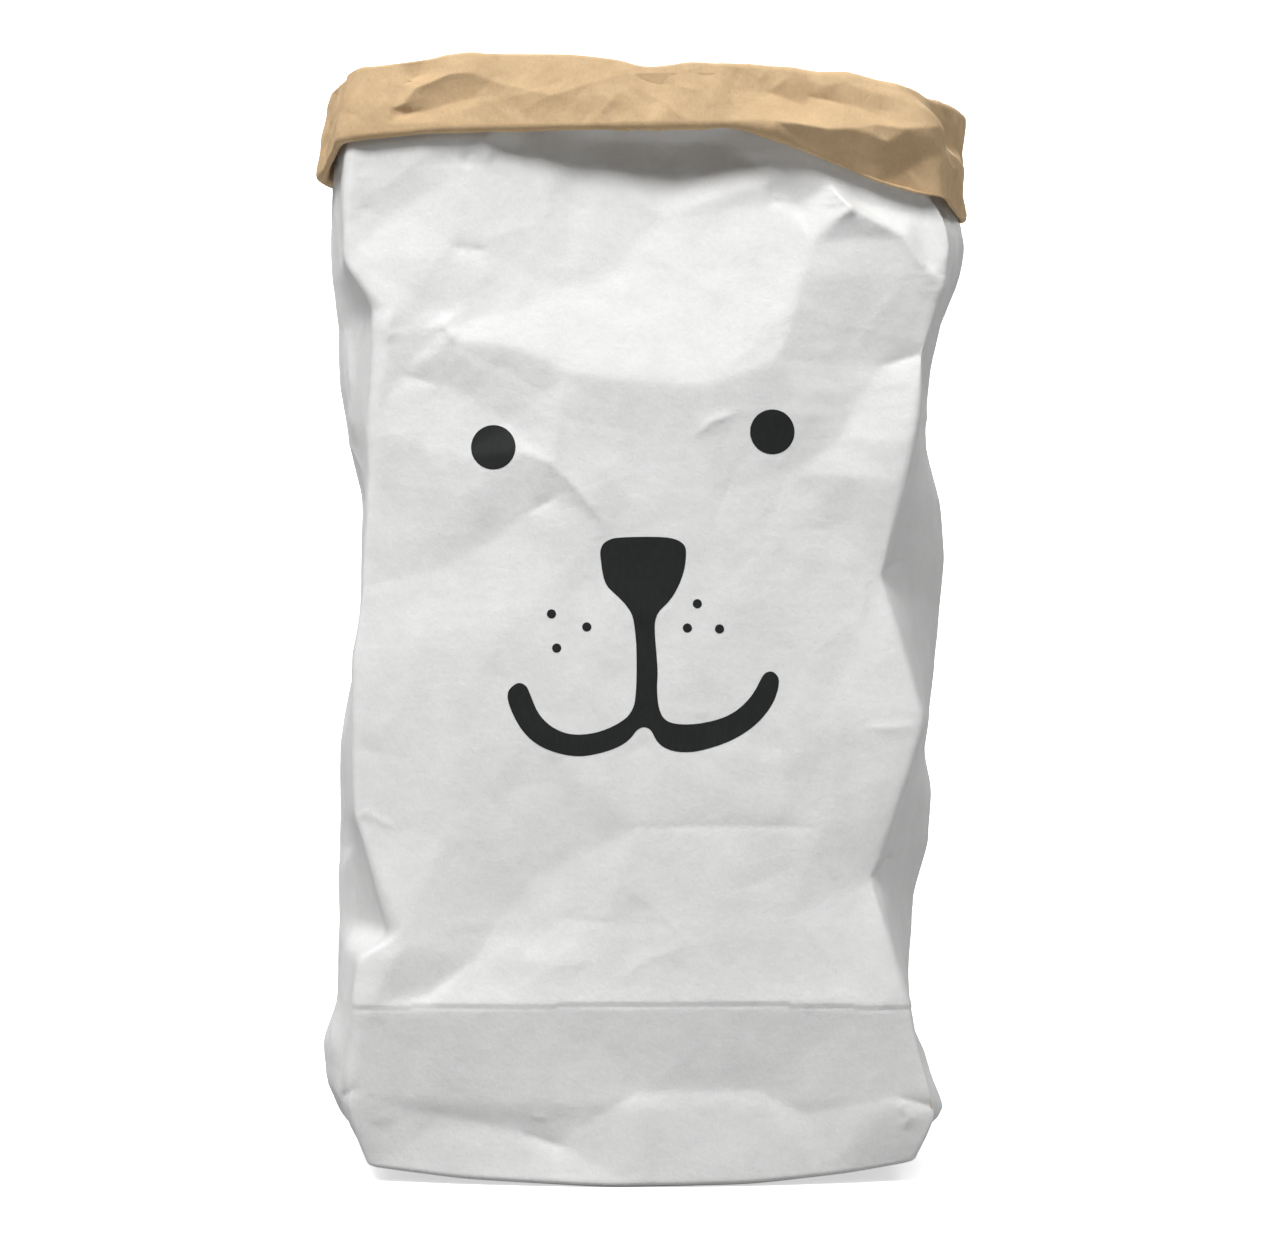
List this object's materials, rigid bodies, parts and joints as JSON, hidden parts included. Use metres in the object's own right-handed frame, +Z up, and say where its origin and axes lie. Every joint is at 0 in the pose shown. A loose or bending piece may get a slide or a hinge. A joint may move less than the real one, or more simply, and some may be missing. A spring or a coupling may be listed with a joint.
{
  "type": "paper storage sack",
  "caption": "Tall free-standing paper sack with a flat folded bottom, a rolled-down kraft rim and a simple printed animal face.",
  "frame": {"origin": "middle of the base, on the surface that the sack stands on", "axes": "+Z up, front with the printed face towards -Y, +X to the right seen from the front"},
  "size_m": [0.3768, 0.2124, 0.62],
  "materials": {
    "white_paper": "matte",
    "brown_kraft": "matte",
    "black_ink": "satin"
  },
  "bodies": {
    "back_and_base": {"outer_back_panel": "white_paper", "inner_back_panel": "brown_kraft", "outer_seam_lap": "white_paper", "inner_seam_lap": "brown_kraft", "base_front_flap": "white_paper", "base_back_flap": "white_paper", "base_end_flap_left": "white_paper", "base_end_flap_right": "white_paper", "inner_base_sheet": "brown_kraft", "rolled_cuff_back": "brown_kraft"},
    "left_rear_side": {"outer_left_rear_panel": "white_paper", "inner_left_rear_panel": "brown_kraft", "rolled_cuff_left_rear": "brown_kraft"},
    "left_front_side": {"outer_left_front_panel": "white_paper", "inner_left_front_panel": "brown_kraft", "rolled_cuff_left_front": "brown_kraft"},
    "front_face": {"outer_front_panel": "white_paper", "outer_front_lower_panel": "white_paper", "inner_front_panel": "brown_kraft", "inner_front_lower_panel": "brown_kraft", "rolled_cuff_front": "brown_kraft", "printed_eye_left": "black_ink", "printed_eye_right": "black_ink", "printed_nose_and_mouth": "black_ink", "printed_dot_left_1": "black_ink", "printed_dot_left_2": "black_ink", "printed_dot_left_3": "black_ink", "printed_dot_right_1": "black_ink", "printed_dot_right_2": "black_ink", "printed_dot_right_3": "black_ink"},
    "right_rear_side": {"outer_right_rear_panel": "white_paper", "inner_right_rear_panel": "brown_kraft", "rolled_cuff_right_rear": "brown_kraft"},
    "right_front_side": {"outer_right_front_panel": "white_paper", "inner_right_front_panel": "brown_kraft", "rolled_cuff_right_front": "brown_kraft"}
  },
  "joints": [
    {"name": "rear_left_crease", "type": "hinge", "parent": "back_and_base", "child": "left_rear_side", "pos_m": [-0.146, 0.098, 0.31], "axis": [0, 0, -1], "range_deg": [0, 66]},
    {"name": "left_edge_crease", "type": "hinge", "parent": "left_rear_side", "child": "left_front_side", "pos_m": [-0.18081, 0, 0.31], "axis": [0, 0, 1], "range_deg": [0, 132]},
    {"name": "front_left_crease", "type": "hinge", "parent": "left_front_side", "child": "front_face", "pos_m": [-0.146, -0.098, 0.31], "axis": [0, 0, -1], "range_deg": [0, 66]},
    {"name": "rear_right_crease", "type": "hinge", "parent": "back_and_base", "child": "right_rear_side", "pos_m": [0.146, 0.098, 0.31], "axis": [0, 0, 1], "range_deg": [0, 66]},
    {"name": "right_edge_crease", "type": "hinge", "parent": "right_rear_side", "child": "right_front_side", "pos_m": [0.18081, 0, 0.31], "axis": [0, 0, -1], "range_deg": [0, 132]}
  ],
  "couplings": [
    {"joint": "left_edge_crease", "follows": "rear_left_crease", "ratio": 2},
    {"joint": "front_left_crease", "follows": "rear_left_crease", "ratio": 1},
    {"joint": "rear_right_crease", "follows": "rear_left_crease", "ratio": 1},
    {"joint": "right_edge_crease", "follows": "rear_left_crease", "ratio": 2}
  ]
}
